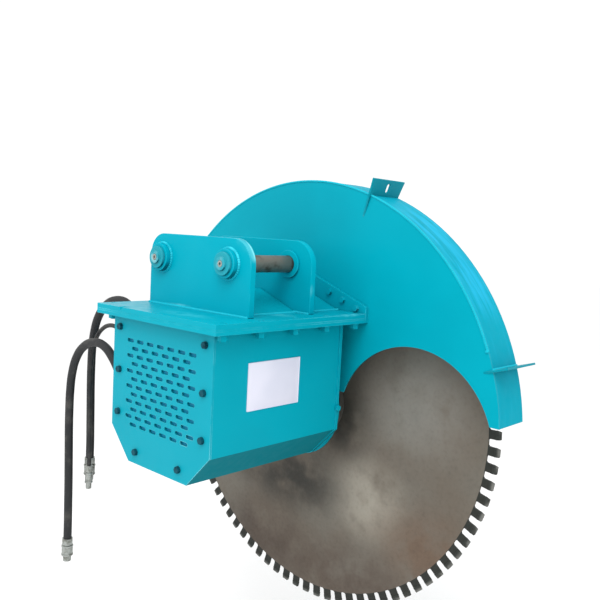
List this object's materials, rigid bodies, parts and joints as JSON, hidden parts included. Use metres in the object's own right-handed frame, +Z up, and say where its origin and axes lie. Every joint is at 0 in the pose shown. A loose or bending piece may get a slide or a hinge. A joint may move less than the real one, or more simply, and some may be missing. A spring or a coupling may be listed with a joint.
{
  "type": "excavator concrete saw",
  "caption": "Hydraulic concrete saw that hangs from an excavator's pins, with a motor housing, a half round guard and a large segmented blade.",
  "frame": {"origin": "on the stick pin's axis, midway between the two ears", "axes": "+Z up, +Y along the pins and the blade's spindle towards the blade, +X along the blade from the stick pin to the link pin"},
  "size_m": [1.4941, 0.762, 1.4462],
  "materials": {
    "turquoise_paint": "gloss, scuffed at the welds and edges",
    "pin_steel": "machined, greased",
    "zinc_fasteners": "zinc plated, dulled",
    "dark_fasteners": "blackened",
    "dark_machined_steel": "oiled",
    "bearing_steel": "ground",
    "motor_paint": "semi gloss",
    "seal_rubber": "matt",
    "line_steel": "zinc plated",
    "machined_steel": "machined",
    "blade_steel": "mottled, lightly rusted",
    "segment_metal": "sintered, coarse",
    "hose_rubber": "matt, wrapped"
  },
  "bodies": {
    "saw_frame": {"base_plate": "turquoise_paint", "front_ear": "turquoise_paint", "rear_ear": "turquoise_paint", "pin_bosses": "turquoise_paint", "stick_pin": "pin_steel", "link_pin": "pin_steel", "pin_caps": "turquoise_paint", "pin_cap_screws": "zinc_fasteners", "front_deck": "turquoise_paint", "rear_deck": "turquoise_paint", "guard_flange": "turquoise_paint", "spacer_plate": "turquoise_paint", "housing_flange_bars": "turquoise_paint", "housing_left_side": "turquoise_paint", "housing_right_side": "turquoise_paint", "housing_bottom": "turquoise_paint", "housing_end_plate": "turquoise_paint", "end_plate_screws": "zinc_fasteners", "flange_studs": "zinc_fasteners", "flange_nuts": "zinc_fasteners", "grille_cover": "turquoise_paint", "grille_pads": "turquoise_paint", "grille_bolts": "dark_fasteners", "guard_front_plate": "turquoise_paint", "guard_rim": "turquoise_paint", "guard_rear_plate": "turquoise_paint", "guard_upper_tab": "turquoise_paint", "guard_lower_tab": "turquoise_paint", "guard_hub_ring": "turquoise_paint", "guard_bolts": "zinc_fasteners", "guard_nuts": "zinc_fasteners", "bearing_cartridge": "dark_machined_steel", "cartridge_bolts": "zinc_fasteners", "bearing_outer_rings": "bearing_steel", "bearing_covers": "dark_machined_steel", "bearing_cover_bolts": "zinc_fasteners", "oil_seals": "seal_rubber", "motor_mount_plate": "turquoise_paint", "motor_body": "motor_paint", "motor_end_cap": "motor_paint", "motor_bolts": "zinc_fasteners", "motor_port_block": "motor_paint", "motor_lines": "line_steel", "hose_fittings": "line_steel", "pressure_hose": "hose_rubber", "drain_hose": "hose_rubber", "return_hose": "hose_rubber", "hose_couplers": "line_steel"},
    "blade_rotor": {"spindle": "machined_steel", "bearing_inner_rings": "bearing_steel", "bearing_balls": "bearing_steel", "motor_shaft": "machined_steel", "coupling_sleeve": "dark_machined_steel", "inner_flange": "machined_steel", "outer_flange": "machined_steel", "drive_pins": "dark_fasteners", "spindle_nut": "machined_steel", "blade_core": "blade_steel", "blade_segments": "segment_metal"}
  },
  "joints": [
    {"name": "blade_spin", "type": "hinge", "parent": "saw_frame", "child": "blade_rotor", "pos_m": [0.18, 0.409, -0.473], "axis": [0, 1, 0], "continuous": true}
  ]
}
